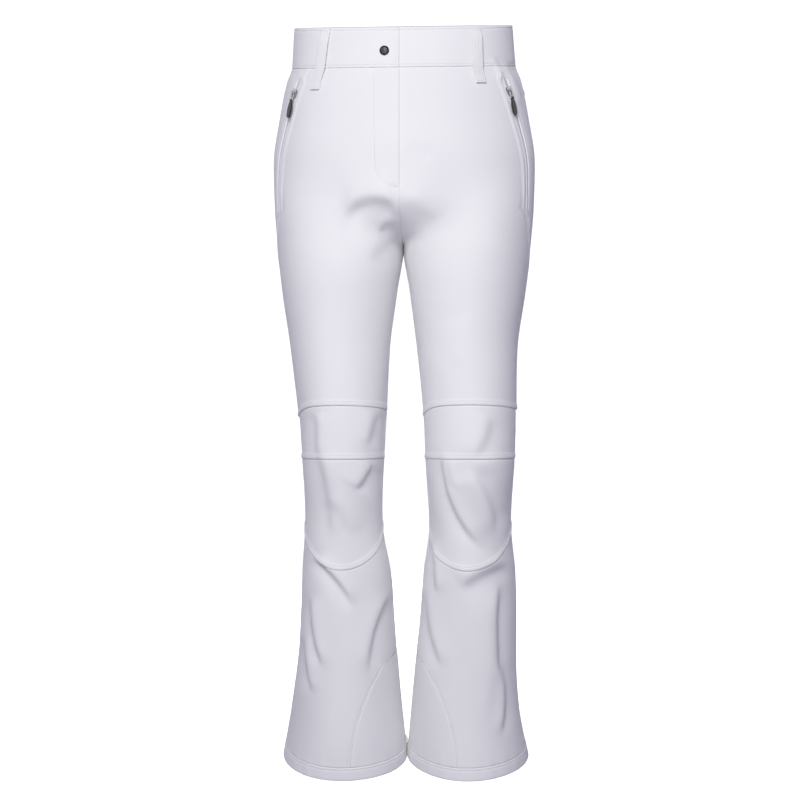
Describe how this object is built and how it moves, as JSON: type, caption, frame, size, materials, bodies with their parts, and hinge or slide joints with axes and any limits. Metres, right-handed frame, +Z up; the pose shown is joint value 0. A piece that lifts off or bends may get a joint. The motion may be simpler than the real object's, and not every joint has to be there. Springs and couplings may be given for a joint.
{
  "type": "ski pants",
  "caption": "Softshell ski pants with a bootcut leg: lapped snap fly, zipped front pockets, knee bands, U-seamed shields and inner kick patches.",
  "frame": {"origin": "centre of the waist opening, level with the top of the waistband at the sides", "axes": "+Z up, the front of the garment faces -Y, +X is the wearer's left"},
  "size_m": [0.366, 0.2431, 1.0592],
  "materials": {
    "shell_cloth": "white softshell, matt, with a fine tight face",
    "lining_cloth": "brushed off-white lining and facing cloth",
    "zip_tape": "white woven tape with moulded teeth",
    "zip_metal": "bright nickel-plated zip metal",
    "snap_metal": "dark gunmetal snap",
    "pull_plastic": "glossy black moulded pull tab"
  },
  "bodies": {
    "seat": {"waistband_left": "shell_cloth", "waistband_facing_left": "lining_cloth", "front_panel_left": "shell_cloth", "hip_side_panel_left": "shell_cloth", "back_yoke_left": "shell_cloth", "back_panel_left": "shell_cloth", "pocket_bag_left": "lining_cloth", "knee_band_left": "shell_cloth", "back_knee_panel_left": "shell_cloth", "belt_loop_front_left": "shell_cloth", "belt_loop_back_left": "shell_cloth", "pocket_zip_tape_left": "zip_tape", "waistband_right": "shell_cloth", "waistband_facing_right": "lining_cloth", "front_panel_right": "shell_cloth", "hip_side_panel_right": "shell_cloth", "back_yoke_right": "shell_cloth", "back_panel_right": "shell_cloth", "pocket_bag_right": "lining_cloth", "knee_band_right": "shell_cloth", "back_knee_panel_right": "shell_cloth", "belt_loop_front_right": "shell_cloth", "belt_loop_back_right": "shell_cloth", "pocket_zip_tape_right": "zip_tape", "belt_loop_centre_back": "shell_cloth", "waistband_underlap": "shell_cloth", "fly_underlap": "lining_cloth", "fly_zip_tape": "zip_tape", "snap_stud": "snap_metal", "snap_post": "snap_metal"},
    "shin_left": {"knee_shield_left": "shell_cloth", "lower_front_panel_left": "shell_cloth", "lower_back_panel_left": "shell_cloth", "kick_patch_left": "shell_cloth", "hem_band_left": "shell_cloth", "snow_cuff_left": "lining_cloth"},
    "slider_left": {"pocket_slider_left": "zip_metal"},
    "link_left": {"pocket_pull_link_left": "zip_metal"},
    "tab_left": {"pocket_pull_tab_left": "pull_plastic"},
    "shin_right": {"knee_shield_right": "shell_cloth", "lower_front_panel_right": "shell_cloth", "lower_back_panel_right": "shell_cloth", "kick_patch_right": "shell_cloth", "hem_band_right": "shell_cloth", "snow_cuff_right": "lining_cloth"},
    "slider_right": {"pocket_slider_right": "zip_metal"},
    "link_right": {"pocket_pull_link_right": "zip_metal"},
    "tab_right": {"pocket_pull_tab_right": "pull_plastic"},
    "fly_flap": {"fly_placket": "shell_cloth", "waistband_tab": "shell_cloth", "snap_cap": "snap_metal", "snap_socket": "snap_metal"},
    "fly_slider": {"fly_zip_slider": "zip_metal"}
  },
  "joints": [
    {"name": "knee_left", "type": "hinge", "parent": "seat", "child": "shin_left", "pos_m": [0.0875, -0.035, -0.6], "axis": [1, 0, 0], "range_deg": [0, 90], "deforming": ["back_knee_panel_left"]},
    {"name": "knee_right", "type": "hinge", "parent": "seat", "child": "shin_right", "pos_m": [-0.0875, -0.035, -0.6], "axis": [1, 0, 0], "range_deg": [0, 90], "deforming": ["back_knee_panel_right"]},
    {"name": "fly_open", "type": "hinge", "parent": "seat", "child": "fly_flap", "pos_m": [-0.00421, -0.10729, -0.23983], "axis": [0.1683, -0.064, -0.9837], "range_deg": [0, 105]},
    {"name": "fly_zip", "type": "slide", "parent": "seat", "child": "fly_slider", "axis": [0.0001, -0.0474, -0.9989], "range_m": [0, 0.125]},
    {"name": "pocket_zip_left", "type": "hinge", "parent": "seat", "child": "slider_left", "pos_m": [-0.08374, -0.17935, -0.23118], "axis": [-0.5075, 0.8616, 0.009], "range_deg": [0, 24.8]},
    {"name": "pull_link_left", "type": "hinge", "parent": "slider_left", "child": "link_left", "pos_m": [0.14956, -0.04936, -0.09808], "axis": [-0.6531, -0.7396, -0.1624], "range_deg": [0, 110]},
    {"name": "pull_tab_left", "type": "hinge", "parent": "link_left", "child": "tab_left", "pos_m": [0.15155, -0.04883, -0.10848], "axis": [-0.6531, -0.7396, -0.1624], "range_deg": [0, 60]},
    {"name": "pocket_zip_right", "type": "hinge", "parent": "seat", "child": "slider_right", "pos_m": [0.08374, -0.17935, -0.23118], "axis": [-0.5075, -0.8616, -0.009], "range_deg": [0, 24.8]},
    {"name": "pull_link_right", "type": "hinge", "parent": "slider_right", "child": "link_right", "pos_m": [-0.14956, -0.04936, -0.09808], "axis": [-0.6531, 0.7396, 0.1624], "range_deg": [0, 110]},
    {"name": "pull_tab_right", "type": "hinge", "parent": "link_right", "child": "tab_right", "pos_m": [-0.15155, -0.04883, -0.10848], "axis": [-0.6531, 0.7396, 0.1624], "range_deg": [0, 60]}
  ]
}
